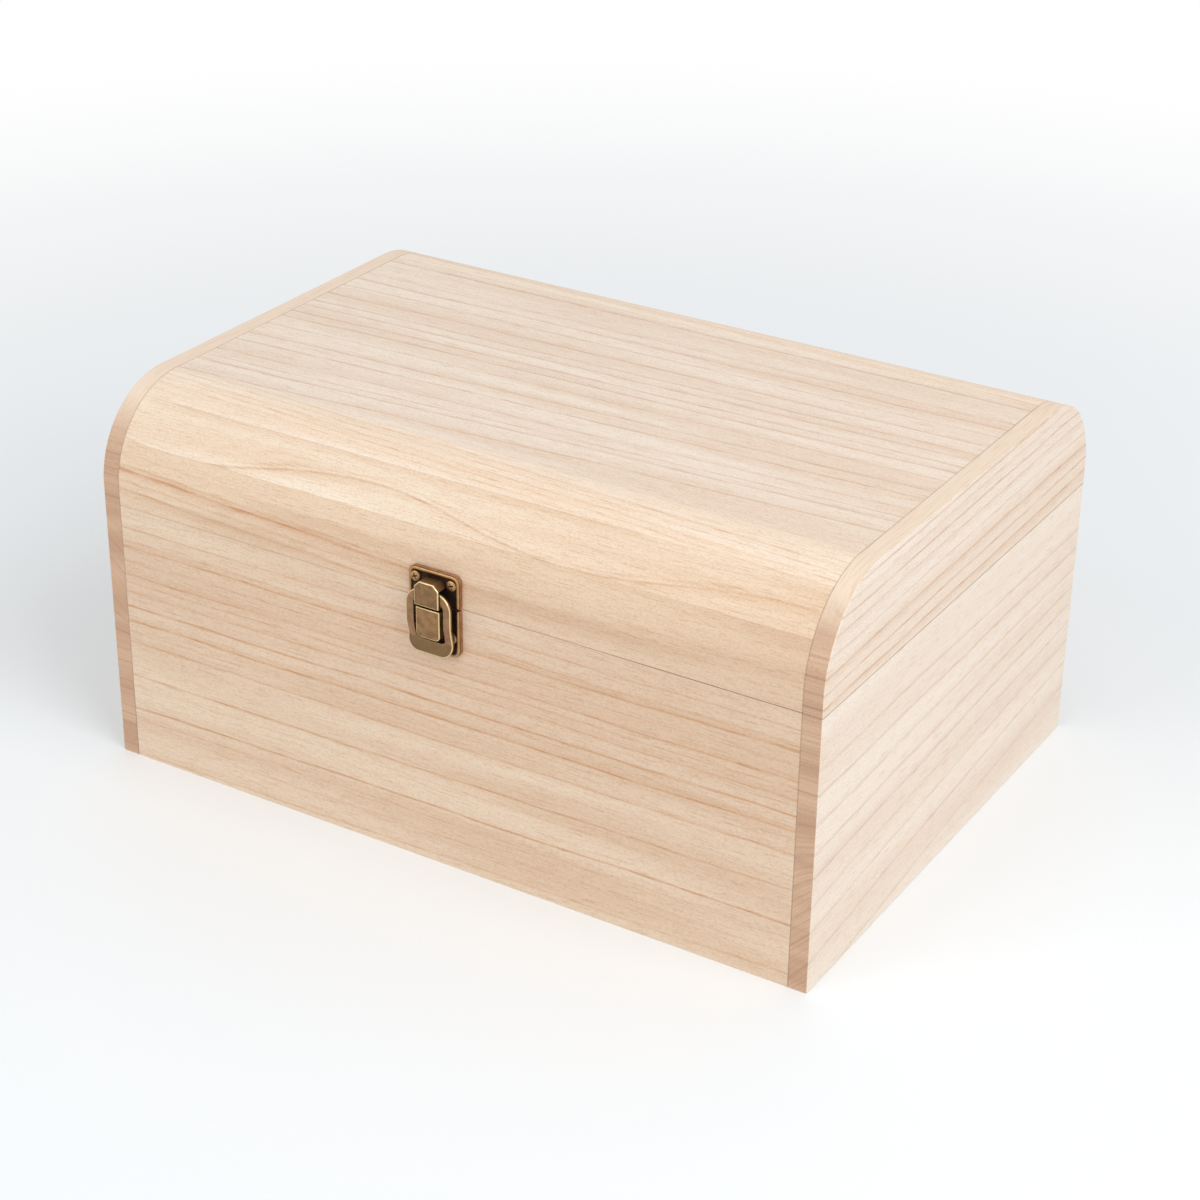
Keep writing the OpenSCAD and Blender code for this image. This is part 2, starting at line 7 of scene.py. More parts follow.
import bmesh
import bpy
from mathutils import Matrix, Vector


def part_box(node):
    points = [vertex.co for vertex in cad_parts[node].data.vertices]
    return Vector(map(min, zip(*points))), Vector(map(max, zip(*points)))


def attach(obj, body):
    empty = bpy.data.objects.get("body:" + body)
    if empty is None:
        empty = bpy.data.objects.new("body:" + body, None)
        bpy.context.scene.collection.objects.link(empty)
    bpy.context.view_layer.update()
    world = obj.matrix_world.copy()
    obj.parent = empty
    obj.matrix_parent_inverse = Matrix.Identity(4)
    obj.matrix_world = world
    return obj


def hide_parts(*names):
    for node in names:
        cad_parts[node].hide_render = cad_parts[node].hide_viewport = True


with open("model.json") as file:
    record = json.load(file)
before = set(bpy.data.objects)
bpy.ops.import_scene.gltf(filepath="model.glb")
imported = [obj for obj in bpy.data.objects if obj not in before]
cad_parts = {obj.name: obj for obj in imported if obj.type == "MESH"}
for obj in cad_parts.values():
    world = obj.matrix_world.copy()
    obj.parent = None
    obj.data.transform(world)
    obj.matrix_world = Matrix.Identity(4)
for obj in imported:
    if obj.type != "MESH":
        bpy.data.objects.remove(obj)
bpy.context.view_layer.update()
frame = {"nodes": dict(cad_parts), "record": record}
record = frame["record"]
body_of_node = {
    node: body
    for body, members in record["behaviour"]["bodies"].items()
    for node in members
}

MM = 0.001


# ---- Sizes read from the frame, in metres ----

front_low, front_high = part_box("base_front_board")
end_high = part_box("base_right_end")[1]
seam_z = front_high.z
front_y = front_low.y
back_y = end_high.y
half_w = end_high.x
inner_half_w = front_high.x
top_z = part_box("lid_top_board")[1].z

# The lid's curve: where it begins, from the front or back inwards, and its radius and axis
curve_y = -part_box("lid_front_high_stave")[1].y
curve_r = back_y - curve_y
curve_z = top_z - curve_r


# ---- Colours ----

def srgb(red, green, blue):
    """A colour given as 0 to 255, as the linear colour that shaders take."""
    linear = []
    for part in (red, green, blue):
        share = part / 255
        linear.append(share / 12.92 if share <= 0.04045 else ((share + 0.055) / 1.055) ** 2.4)
    return (*linear, 1.0)


WHITE = (1.0, 1.0, 1.0, 1.0)


# ---- Shader maths ----

class Wire:
    """A socket that gives a value; sums and products of wires add Math nodes."""

    def __init__(self, paint, socket):
        self.paint = paint
        self.socket = socket

    def __add__(self, other):
        return self.paint.math("ADD", self, other)

    def __radd__(self, other):
        return self.paint.math("ADD", other, self)

    def __sub__(self, other):
        return self.paint.math("SUBTRACT", self, other)

    def __rsub__(self, other):
        return self.paint.math("SUBTRACT", other, self)

    def __mul__(self, other):
        return self.paint.math("MULTIPLY", self, other)

    def __rmul__(self, other):
        return self.paint.math("MULTIPLY", other, self)

    def __truediv__(self, other):
        return self.paint.math("DIVIDE", self, other)

    def __rtruediv__(self, other):
        return self.paint.math("DIVIDE", other, self)

    def __pow__(self, other):
        return self.paint.math("POWER", self, other)

    def __rpow__(self, other):
        return self.paint.math("POWER", other, self)

    def __abs__(self):
        return self.paint.math("ABSOLUTE", self)


# The rays for which the backdrop is plain white
SEEN_RAYS = ("Is Camera Ray", "Is Glossy Ray", "Is Transmission Ray")


class Paint:
    """The nodes of one material, or of the world."""

    def __init__(self, owner, shader="Principled BSDF", output="Material Output"):
        owner.use_nodes = True
        self.owner = owner
        self.tree = owner.node_tree
        self.shader = self.tree.nodes[shader]
        self.output = self.tree.nodes[output]

    def plug(self, socket, value):
        """Links a wire to a socket, or sets the socket's own value."""
        if isinstance(value, Wire):
            self.tree.links.new(value.socket, socket)
        else:
            socket.default_value = value

    def node(self, kind, settings=None, sockets=None, output=0):
        """Adds a node, sets its settings and then its sockets, and gives one output or several."""
        made = self.tree.nodes.new(kind)
        for key, value in (settings or {}).items():
            setattr(made, key, value)
        for key, value in (sockets or {}).items():
            self.plug(made.inputs[key], value)
        if isinstance(output, tuple):
            return [Wire(self, made.outputs[key]) for key in output]
        return Wire(self, made.outputs[output])

    def set(self, **values):
        """Sets the shader's own sockets; a name's underscores stand for spaces."""
        for key, value in values.items():
            self.plug(self.shader.inputs[key.replace("_", " ")], value)

    def math(self, operation, *terms):
        return self.node("ShaderNodeMath", {"operation": operation}, dict(enumerate(terms)))

    def parts(self, vector):
        """The three parts of a vector."""
        return self.node("ShaderNodeSeparateXYZ", sockets={0: vector}, output=(0, 1, 2))

    def place(self):
        """Where a point of the piece lies: x, y and z in millimetres."""
        metres = self.node("ShaderNodeTexCoord", output="Object")
        return self.parts(self.node("ShaderNodeVectorMath", {"operation": "SCALE"},
                                    {0: metres, "Scale": 1 / MM}))

    def facing(self):
        """How far the surface faces along x, y and z, either way: 1 where it is square to it."""
        return [abs(part) for part in self.parts(self.node("ShaderNodeTexCoord", output="Normal"))]

    def cloud(self, place, patch, seed=0.0, detail=2.0, roughness=0.5):
        """Noise from 0 to 1.

        place is one, two or three wires in millimetres, and patch is the size of the noise's
        patches along each. The seed takes the place of the first wire that isn't given.
        """
        spots = [wire / size for wire, size in zip(place, patch)] + [seed, 0.0]
        vector = self.node("ShaderNodeCombineXYZ", sockets=dict(enumerate(spots[:3])))
        return self.node("ShaderNodeTexNoise", {"noise_dimensions": "3D"},
                         {"Vector": vector, "Scale": 1.0, "Detail": detail,
                          "Roughness": roughness})

    def step(self, value, low, high):
        """0 below low, 1 above high, and smooth between; low may be the larger."""
        return self.node("ShaderNodeMapRange", {"interpolation_type": "SMOOTHSTEP"},
                         {"Value": value, "From Min": low, "From Max": high})

    def mark(self, value, at, width, strength):
        """strength where value is at, down to 0 at width to either side."""
        return self.node("ShaderNodeMapRange", {"interpolation_type": "SMOOTHSTEP"},
                         {"Value": abs(value - at), "From Min": 0.0, "From Max": width,
                          "To Min": strength, "To Max": 0.0})

    def mix(self, factor, first, second):
        """A colour from first to second."""
        return self.node("ShaderNodeMix", {"data_type": "RGBA"}, {0: factor, 6: first, 7: second},
                         output=2)

    def shade(self, factor, colour, tint):
        """A colour multiplied by tint, as far as factor says."""
        return self.node("ShaderNodeMix", {"data_type": "RGBA", "blend_type": "MULTIPLY"},
                         {0: factor, 6: colour, 7: tint}, output=2)

    def bump(self, height, strength, distance):
        return self.node("ShaderNodeBump", sockets={"Strength": strength, "Distance": distance,
                                                    "Height": height})

    def seen(self):
        """1 for the rays for which the backdrop is plain white, and 0 for the others."""
        camera, glossy, transmission = self.node("ShaderNodeLightPath", output=SEEN_RAYS)
        return self.math("MAXIMUM", self.math("MAXIMUM", camera, glossy), transmission)

    def fade_to(self, glow, factor):
        """Lets the surface go over from its shader to a glow."""
        shader = Wire(self, self.shader.outputs[0])
        both = self.node("ShaderNodeMixShader", sockets={0: factor, 1: shader, 2: glow})
        self.plug(self.output.inputs["Surface"], both)


# ---- Wood ----

# Sizes of the growth rings, in millimetres
RING_WANDER = 2.6       # how far a line strays across the grain
WAVE_LENGTH = 200       # from one crest of a wave to the next
SHADOW_OFFSET = 1.2     # from a line to the middle of its soft shadow
SHADOW_REACH = 3.0      # from that middle to the shadow's edge
BAND_EDGE = 4           # the soft edge of a darker stretch
TONE_LENGTH = 300       # the length over which a board's tone gains its warmth

# The thin lines of painted shade in the seam between lid and base and in the joints beside the end
# panels, in millimetres
SEAM_REACH = 0.34       # from a line's middle to its edge
JOINT_REACH = 0.45
SEAM_LENGTH = 900       # the length over which the level of the seam's patches rises by 1

# How much each feature of the wood shows, from 0 to 1
SHADOW_SHARE = 0.22
LINE_SHARE = 0.80
FAINTEST_LINE = 0.45
STREAK_SHARE = 0.52
STREAK_ON_LINE = 0.4
GRIT_SHARE = 0.6
# how dark the painted shade in the seam and in the joints beside the end panels is
SEAM_SHARE = 0.85
FAINTEST_SEAM = 0.35
JOINT_SHARE = 0.38

STREAK_TINT = srgb(229, 207, 184)
GRIT_TINT = srgb(240, 228, 216)
# the colour of the painted shade in the seam and in the joints beside the end panels
JOINT_SHADE_BROWN = srgb(112, 76, 54)
END_GRAIN = dict(pale=srgb(215, 182, 154), warm=srgb(197, 161, 134), ray=srgb(180, 142, 114),
                 line=srgb(160, 120, 92), pore=srgb(226, 206, 188))
LONG_GRAIN = dict(pale=srgb(237, 217, 196), warm=srgb(222, 194, 167))


def unrolled(x, y, z):
    """Along the box, up over the lid from the seam, and out from the curve's axis."""
    out = abs(y) - curve_y / MM
    up = z - curve_z / MM
    angle = up.paint.math("ARCTAN2", up, out)
    return x, angle * (curve_r / MM) + (curve_z - seam_z) / MM, out


# The way along the grain, across its lines and through the board, in millimetres
LAYOUTS = {
    "base wall": lambda x, y, z: (x, seam_z / MM - z, y),
    "base end": lambda x, y, z: (y, seam_z / MM - z, x),
    "lid end": lambda x, y, z: (y, z - seam_z / MM, x),
    "flat": lambda x, y, z: (x, curve_y / MM - y, z),
    "curve": unrolled,
}


def ring_level(paint, place, seed, lean, fan, wave, tilt):
    """The growth ring that a point belongs to, as its level across the grain in millimetres."""
    along, across, thick = place
    stray = paint.cloud((along, across), (70, 26), seed, detail=1.0) - 0.5
    level = across + along * (lean + fan * across) + stray * RING_WANDER
    if wave:
        height, crest = wave
        turn = (along - crest) * (2 * math.pi / WAVE_LENGTH)
        level = level - paint.math("COSINE", turn) * height
    if tilt:
        slope, start, full = tilt
        level = level + (abs(thick) - half_w / MM) * (paint.step(across, start, full) * slope)
    return level


def ring_lines(paint, place, level, lines, seed, width, force, fade):
    """How dark the rings' lines are, and the soft shadows beside every second one."""
    along, across, _ = place
    body = sum(paint.mark(level, at, width, strength * force) for at, strength in lines)
    vigour = paint.step(paint.cloud((along, across), (22, 2.4), seed, detail=1.0), 0.3, 0.62)
    body = body * (FAINTEST_LINE + vigour * (1 - FAINTEST_LINE))
    shadow = sum(paint.mark(level, at - SHADOW_OFFSET, SHADOW_REACH, strength)
                 for at, strength in lines[::2])
    if fade:
        whole = paint.step(along, *fade)
        return body * whole, shadow * whole
    return body, shadow


def narrow_edges(paint, place, facing, level, body, seed):
    """The colour of an end panel's narrow edges.

    Its front and back edge show end grain, and its top and bottom edge show long grain.
    """
    along, across, thick = place
    patch = paint.step(paint.cloud((across,), (14,), seed), 0.36, 0.64)
    ray = paint.step(paint.cloud((level,), (1.1,), seed, detail=1.0), 0.4, 0.66)
    pore = paint.step(paint.cloud((thick, across, along), (0.5, 0.45, 3), detail=1.0), 0.42, 0.7)
    end_grain = paint.mix(patch, END_GRAIN["pale"], END_GRAIN["warm"])
    end_grain = paint.mix(ray * 0.40, end_grain, END_GRAIN["ray"])
    end_grain = paint.mix(body * 0.60, end_grain, END_GRAIN["line"])
    end_grain = paint.shade(pore * 0.5, end_grain, END_GRAIN["pore"])
    fibre = paint.step(paint.cloud((along, thick, across), (16, 0.6, 4)), 0.45, 0.7)
    long_grain = paint.mix(fibre * 0.6, LONG_GRAIN["pale"], LONG_GRAIN["warm"])
    return paint.mix(paint.step(facing[1], 0.45, 1.0), long_grain, end_grain)


def seam_and_joint_shade(paint, x, y, z, facing):
    """How dark the painted shade in the seam and in the joints beside the end panels is.

    They are drawn on the faces that they run along, and not on the faces that meet in them. The
    shade in the seam shows more in some places than in others, and more towards the right end.
    """
    patch = paint.cloud((x, y), (90, 90), detail=1.0) + x / SEAM_LENGTH
    clear = FAINTEST_SEAM + paint.step(patch, 0.35, 0.65) * (1 - FAINTEST_SEAM)
    seam = paint.mark(z, seam_z / MM, SEAM_REACH, SEAM_SHARE) * paint.step(facing[2], 0.95, 0.8)
    joint = paint.mark(abs(x), inner_half_w / MM, JOINT_REACH, JOINT_SHARE)
    return seam * clear + joint * paint.step(facing[0], 0.95, 0.8)


def wood(name, layout, look, lines, seed, lean=0.0, fan=0.0, wave=None, fade=None, band=None,
         tilt=None, width=0.9, force=1.0, warmer=0.0):
    """Sanded paulownia with growth rings as fine lines. Sizes are in millimetres.

    lines gives each line's level across the grain and its strength. lean is how far the lines run
    across the board for each millimetre along it, and fan is how much that grows with the level.
    wave is the height of a long wave in them, and where its crest is. fade gives where along the
    board they end, and where they are whole again. band is the start, end and strength of a
    darker stretch. tilt is how steeply the rings run through an end panel, and the levels at
    which that starts and is full. width is half of a line's, and force scales the strengths.
    warmer is how much the tone gains over TONE_LENGTH.
    """
    paint = Paint(bpy.data.materials.new(name))
    x, y, z = paint.place()
    facing = paint.facing()
    place = along, across, thick = LAYOUTS[layout](x, y, z)
    level = ring_level(paint, place, seed, lean, fan, wave, tilt)
    body, shadow = ring_lines(paint, place, level, lines, seed, width, force, fade)

    tone = paint.step(paint.cloud((along, across), (260, 17), seed), 0.34, 0.66)
    tone = tone + along * (warmer / TONE_LENGTH)
    fibre = paint.cloud(place, (11, 0.40, 2), roughness=0.6)
    streak = paint.step(fibre, 0.50, 0.70)
    grit = paint.cloud(place, (1.3, 0.55, 2), detail=1.0)

    colour = paint.mix(tone, look["pale"], look["warm"])
    if band:
        start, end, strength = band
        inside = (paint.step(level, start, start + BAND_EDGE)
                  * paint.step(level, end, end - BAND_EDGE))
        colour = paint.mix(inside * strength, colour, look["band"])
    colour = paint.mix(shadow * SHADOW_SHARE, colour, look["line"])
    colour = paint.mix(body * LINE_SHARE, colour, look["line"])
    colour = paint.shade(streak * (STREAK_SHARE + body * STREAK_ON_LINE), colour, STREAK_TINT)
    colour = paint.shade(paint.step(grit, 0.42, 0.72) * GRIT_SHARE, colour, GRIT_TINT)
    if layout.endswith("end"):
        edges = narrow_edges(paint, place, facing, level, body, seed)
        colour = paint.mix(paint.step(facing[0], 0.6, 0.3), colour, edges)
    # painted shade in the seam between lid and base and in the joints beside the end panels
    colour = paint.mix(seam_and_joint_shade(paint, x, y, z, facing), colour, JOINT_SHADE_BROWN)

    height = fibre * 0.6 + grit * 0.4
    paint.set(Base_Color=colour, Roughness=0.60 + streak * 0.10, Specular_IOR_Level=0.30,
              Normal=paint.bump(height, strength=0.20, distance=0.06 * MM))
    return paint.owner


# Levels, in millimetres, and strengths of the lines on the boards that the photo shows
FRONT_LINES = [(9.3, 0.45), (16.0, 0.35), (18.9, 0.8), (25.4, 0.3), (32.2, 0.65), (36.1, 0.5),
               (41.0, 0.5), (48.4, 1.0), (55.8, 0.95), (61.8, 0.25), (66.8, 0.6), (83.7, 0.7),
               (89.0, 0.2), (100.6, 1.0), (106.5, 0.25), (114.5, 0.25), (124.8, 0.45)]
TOP_LINES = [(6.0, 0.6), (25.0, 0.3), (33.0, 0.5), (42.5, 0.4), (54.4, 0.5), (65.0, 0.45),
             (72.0, 0.5), (80.8, 0.55), (88.0, 0.6), (98.5, 0.35), (111.3, 0.5), (120.4, 0.55),
             (133.6, 0.3), (141.8, 0.4), (147.0, 0.5), (158.5, 0.5)]
RIGHT_LINES = [(23.0, 0.4), (33.5, 0.5), (45.5, 0.4), (56.5, 0.45), (66.5, 0.45), (77.5, 0.3),
               (88.5, 0.35), (101.5, 0.45), (116.5, 0.3)]
LID_RIGHT_LINES = [(5.4, 1.0), (11.8, 0.9), (18.7, 0.95), (26.0, 0.5), (33.8, 0.6), (39.5, 0.9),
                   (44.7, 0.4), (49.5, 0.8), (55.0, 0.4)]
RAIL_LINES = [(1.4, 0.55), (5.6, 0.25), (10.7, 1.0), (12.6, 0.5), (18.0, 0.15)]
LOW_LINES = [(36.0, 0.7), (38.2, 0.25), (58.5, 0.3)]
HIGH_LINES = [(56.2, 0.35), (59.4, 0.6), (62.5, 0.5), (66.4, 0.6), (70.2, 0.7), (73.6, 0.35)]

# The strength that the lines vary around on a board that the photo doesn't show
HIDDEN_STRENGTH = 0.6


def rings(first, last, spacing, seed):
    """Levels and strengths of the lines on a board that the photo doesn't show."""
    random = Random(seed)
    lines = []
    level = first
    while level < last:
        lines.append((level, HIDDEN_STRENGTH * random.uniform(0.3, 1.4)))
        level += spacing * random.uniform(0.45, 1.5)
    return lines


def wood_finishes():
    """One finish for each board: its own stretch of log, and partly painted light."""
    # Top, upper staves and end panels paler, front boards and rails darker: partly painted light
    # from above and the right
    front = dict(pale=srgb(230, 209, 186), warm=srgb(221, 194, 168), line=srgb(200, 148, 101),
                 band=srgb(217, 188, 162))
    rail = dict(pale=srgb(230, 206, 180), warm=srgb(215, 185, 157), line=srgb(198, 142, 97))
    low = dict(pale=srgb(242, 226, 206), warm=srgb(229, 203, 176), line=srgb(208, 164, 122))
    high = dict(pale=srgb(245, 230, 213), warm=srgb(241, 221, 200), line=srgb(226, 188, 148))
    top = dict(pale=srgb(242, 229, 215), warm=srgb(234, 215, 197), line=srgb(206, 170, 140))
    end = dict(pale=srgb(236, 224, 211), warm=srgb(231, 215, 200), line=srgb(205, 171, 144),
               band=srgb(226, 203, 181))
    bottom = dict(pale=srgb(238, 218, 192), warm=srgb(230, 204, 174), line=srgb(200, 160, 124))
    return {
        "base_front_board": wood("wood_base_front", "base wall", front, FRONT_LINES, 1.0,
                                 lean=0.006, fan=0.00006, band=(8, 62, 0.4), warmer=0.4),
        "base_back_board": wood("wood_base_back", "base wall", front, rings(4, 128, 9, 2), 2.0,
                                lean=-0.01, fan=0.0001),
        "base_left_end": wood("wood_base_left", "base end", end, rings(3, 128, 11, 3), 3.0,
                              lean=0.02, fan=-0.0004, tilt=(0.9, 70, 50)),
        "base_right_end": wood("wood_base_right", "base end", end, RIGHT_LINES, 4.0,
                               lean=-0.025, fan=0.00106, tilt=(0.9, 35, 105), width=1.3,
                               force=1.2),
        "base_bottom_panel": wood("wood_bottom", "flat", bottom, rings(-40, 210, 12, 5), 5.0,
                                  lean=0.01),
        "lid_front_rail": wood("wood_lid_front", "curve", rail, RAIL_LINES, 6.0,
                               lean=0.042, fade=(60, -70), width=1.3, warmer=0.9),
        "lid_front_low_stave": wood("wood_lid_front_low", "curve", low, LOW_LINES, 6.4,
                                    wave=(6.0, -42), warmer=0.9),
        "lid_front_high_stave": wood("wood_lid_front_high", "curve", high, HIGH_LINES, 6.8,
                                     lean=0.04),
        "lid_back_rail": wood("wood_lid_back", "curve", rail, rings(3, 30, 6, 7), 7.0, lean=-0.03),
        "lid_back_low_stave": wood("wood_lid_back_low", "curve", low, rings(31, 55, 8, 8), 7.4,
                                   wave=(4.0, 60)),
        "lid_back_high_stave": wood("wood_lid_back_high", "curve", high, rings(53, 78, 5, 9), 7.8,
                                    lean=-0.03),
        "lid_top_board": wood("wood_lid_top", "flat", top, TOP_LINES, 8.0, fan=0.00038, width=1.1,
                              force=1.3, warmer=0.3),
        "lid_left_end": wood("wood_lid_left", "lid end", end, rings(2, 60, 7, 10), 9.0, lean=0.01,
                             tilt=(0.8, 32, 46)),
        "lid_right_end": wood("wood_lid_right", "lid end", end, LID_RIGHT_LINES, 10.0,
                              lean=-0.013, band=(-6, 24, 0.4), tilt=(0.8, 32, 46)),
    }


# ---- Metal ----

# Places on the latch, in millimetres out from the wood or down from the seam
FLOOR_OUT = 1.9              # the floor of its two plates
CREST_OUT = (2.1, 2.42)      # where their rims become bright, and where they are fully so
HOOD_SIDES_OUT = 7.2         # where painted shade begins on the hood's sides, behind its front
LEVER_SIDES_OUT = 6.2        # the same for the lever
SIDES_DEPTH = 1.6            # how far behind that the painted shade is full
BAND_DOWN = (14.6, 16.4)     # where the loop's arms go over into its lower band, with its painted darker reflection

SPECK_TINT = srgb(205, 190, 165)
# the colour of the painted shade on the sides of the hood and the lever
SIDE_SHADE_BROWN = srgb(66, 50, 36)
FLOOR_BROWN = srgb(52, 38, 33)
RECESS_BLACK = srgb(26, 20, 16)


def antique_brass(name, face, deep, bright, band_shade=None, sides_out=None, floor=False):
    """Darkened brass with worn edges.

    The colour goes from face to deep in blotches, and to bright where the piece is worn.
    band_shade is the colour of the loop's lower band, a painted darker reflection on that bent
    sheet. sides_out is where painted shade begins on the sides of a bent sheet, behind its front.
    floor darkens the floor of a latch plate and gives its rim a bright crest.
    """
    paint = Paint(bpy.data.materials.new(name))
    x, y, z = place = paint.place()
    out = front_y / MM - y
    worn = paint.node("ShaderNodeAttribute", {"attribute_name": "worn"}, output="Fac")
    recess = paint.node("ShaderNodeAttribute", {"attribute_name": "dark"}, output="Fac")
    blotch = paint.cloud(place, (3.6, 3.6, 3.6), detail=3.0, roughness=0.6)
    brushed = paint.cloud(place, (0.18, 1.5, 2.5), detail=1.0)
    speck = paint.cloud(place, (0.5, 0.5, 0.5), roughness=0.6)

    colour = paint.mix(paint.step(blotch, 0.36, 0.66), face, deep)
    # painted darker reflection on the loop's lower band, below the bend of its arms
    if band_shade:
        down = seam_z / MM - z + (blotch - 0.5) * 3.0
        colour = paint.mix(paint.step(down, *BAND_DOWN) * 0.85, colour, band_shade)
    colour = paint.shade(paint.step(speck, 0.45, 0.75) * 0.30, colour, SPECK_TINT)
    colour = paint.mix(paint.step(brushed, 0.5, 0.8) * 0.10, colour, bright)
    rub = paint.step(worn + (blotch - 0.5) * 0.7 + (speck - 0.5) * 0.3, 0.30, 0.80)
    colour = paint.mix(rub * 0.92, colour, bright)
    roughness = 0.42 + paint.step(blotch, 0.3, 0.7) * 0.12 - rub * 0.14
    # painted shade on the sides of the hood and the lever, behind their fronts
    if sides_out:
        behind = paint.step(out, sides_out, sides_out - SIDES_DEPTH)
        colour = paint.mix(behind * 0.2, colour, SIDE_SHADE_BROWN)
    if floor:
        crest = paint.step(out, *CREST_OUT) * (0.5 + paint.step(blotch, 0.35, 0.6) * 0.5)
        colour = paint.mix(crest * 0.85, colour, bright)
        below_rim = paint.step(out, FLOOR_OUT + 0.35, FLOOR_OUT + 0.05)
        on_floor = below_rim * paint.step(out, FLOOR_OUT - 0.1, FLOOR_OUT - 0.05)
        colour = paint.mix(on_floor * 0.95, colour, FLOOR_BROWN)
        roughness = roughness + on_floor * 0.10
    colour = paint.mix(recess, colour, RECESS_BLACK)

    height = brushed * 0.4 + speck * 0.5
    paint.set(Base_Color=colour, Metallic=1.0, Roughness=roughness,
              Normal=paint.bump(height, strength=0.14, distance=0.03 * MM))
    return paint.owner


def metal_finishes():
    """The finish of each metal piece."""
    face = srgb(158, 123, 88)
    deep = srgb(138, 106, 74)
    bright = srgb(234, 206, 152)
    plate = antique_brass("brass_plate", srgb(192, 152, 112), srgb(168, 130, 94),
                          srgb(178, 138, 90), floor=True)
    hood = antique_brass("brass_hood", srgb(146, 113, 80), srgb(130, 100, 70), bright,
                         sides_out=HOOD_SIDES_OUT)
    lever = antique_brass("brass_lever", face, deep, bright, sides_out=LEVER_SIDES_OUT)
    # the last colour is the painted darker reflection on the loop's lower band
    ring = antique_brass("brass_ring", srgb(162, 126, 97), srgb(144, 110, 82), bright,
                         band_shade=srgb(122, 98, 66))
    leaf = antique_brass("brass_leaf", face, deep, bright)
    screw = antique_brass("brass_screw", srgb(186, 148, 104), srgb(156, 122, 84),
                          srgb(214, 182, 134))
    pin = antique_brass("brass_pin", srgb(104, 82, 58), srgb(84, 66, 46), srgb(150, 122, 84))
    finishes = {"catch_plate": plate, "latch_base_plate": plate, "catch_hood": hood,
                "latch_lever": lever, "latch_loop": ring, "lever_pin": pin, "loop_rivets": pin}
    for part in ("base", "lid"):
        for end in ("left", "right"):
            finishes[f"hinge_{part}_leaf_{end}"] = leaf
    for node in ("latch_base_screws", "catch_screws", "hinge_base_screws", "hinge_lid_screws",
                 "hinge_pin_left", "hinge_pin_right"):
        finishes[node] = screw
    return finishes


# ---- Pieces ----

# Angles between two faces, in degrees: from which they are shaded apart and a board's edge is
# rounded, and from which an edge of the metal may be worn
SHARP_ANGLE = 35
WORN_ANGLE = 50

# How far the boards' edges are rounded, in millimetres
OUTER_EDGE = 0.7
SEAM_EDGE = 0.25
END_JOINT = 0.14
GLUED_EDGE = 0.05

# How near to a plane or a curve a point counts as on it, in metres
NEAR = 0.2 * MM

# How far the metal's edges are worn round, in millimetres, and the leaves' shortest such edge
WORN_EDGES = {"catch_hood": 0.42, "latch_lever": 0.40, "latch_loop": 0.40}
LEAF_EDGE = 0.2
LEAF_SHORTEST = 0.4

# The share of a face's normal along a direction that it looks in, and that it doesn't
LOOKS_ALONG = 0.7
LOOKS_AWAY = 0.5

# How worn an edge is that looks towards the middle of its piece
INNER_WEAR = 0.3

# The tiny roundings at the lever's upper corners, which a worn edge can't run over, in millimetres
LEVER_CORNER = 0.11

# Where the cross in a screw's head lies, in metres: below its top, and out from its axis
CROSS_DEPTHS = (0.25 * MM, 1.1 * MM)
CROSS_REACH = 1.4 * MM

OUTWARDS = Vector((0, -1, 0))


def square_corners(mesh, high, size):
    """Squares the small roundings at a piece's two upper corners, of which high is one."""
    for vert in mesh.verts:
        side = math.copysign(high.x, vert.co.x)
        if high.z - vert.co.z < size and abs(side - vert.co.x) < size:
            vert.co.x = side
            vert.co.z = high.z


def skin(node):
    """A merged copy of a CAD node's mesh, with its flat faces joined."""
    mesh = bmesh.new()
    mesh.from_mesh(frame["nodes"][node].data)
    if node == "latch_lever":
        square_corners(mesh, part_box(node)[1], LEVER_CORNER * MM)
    bmesh.ops.remove_doubles(mesh, verts=mesh.verts, dist=0.001 * MM)
    bmesh.ops.dissolve_limit(mesh, angle_limit=math.radians(0.5), verts=mesh.verts,
                             edges=mesh.edges)
    return mesh


def make_object(mesh, name, material):
    """Makes a bmesh an object in the scene."""
    data = bpy.data.meshes.new(name)
    mesh.to_mesh(data)
    mesh.free()
    data.materials.append(material)
    made = bpy.data.objects.new(name, data)
    bpy.context.scene.collection.objects.link(made)
    return made


def put(mesh, node, name, material):
    """Makes a bmesh the piece that stands for a node, on the node's body."""
    piece = make_object(mesh, name, material)
    piece.data.shade_smooth()
    piece.data.set_sharp_from_angle(angle=math.radians(SHARP_ANGLE))
    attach(piece, body_of_node[node])
    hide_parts(node)
    return piece


def sharp(edge, angle):
    """Whether two faces meet at an edge, and turn there by more than an angle in degrees."""
    return len(edge.link_faces) == 2 and edge.calc_face_angle(0) > math.radians(angle)


def soften(piece):
    """Rounds the edges that carry a bevel weight, whose unit is a millimetre."""
    bevel = piece.modifiers.new("soft_edges", "BEVEL")
    bevel.limit_method = "WEIGHT"
    bevel.width = 1 * MM
    bevel.segments = 3
    bevel.harden_normals = True
    bevel.use_clamp_overlap = True


def on_outside(at):
    """Whether a point lies on the box's front, back or top, or on the curve between them."""
    past = Vector((max(abs(at.y) - curve_y, 0), max(at.z - curve_z, 0)))
    if past.x and past.y:
        return abs(past.length - curve_r) < NEAR
    return abs(abs(at.y) - back_y) < NEAR or abs(at.z - top_z) < NEAR


def board_edge(edge):
    """How far an edge of a board is rounded, by where it lies on the box."""
    at = (edge.verts[0].co + edge.verts[1].co) / 2
    if abs(at.z - seam_z) < NEAR:
        return SEAM_EDGE
    if abs(abs(at.x) - half_w) < NEAR:
        return OUTER_EDGE
    if not on_outside(at):
        return 0.0
    return END_JOINT if abs(abs(at.x) - inner_half_w) < NEAR else GLUED_EDGE


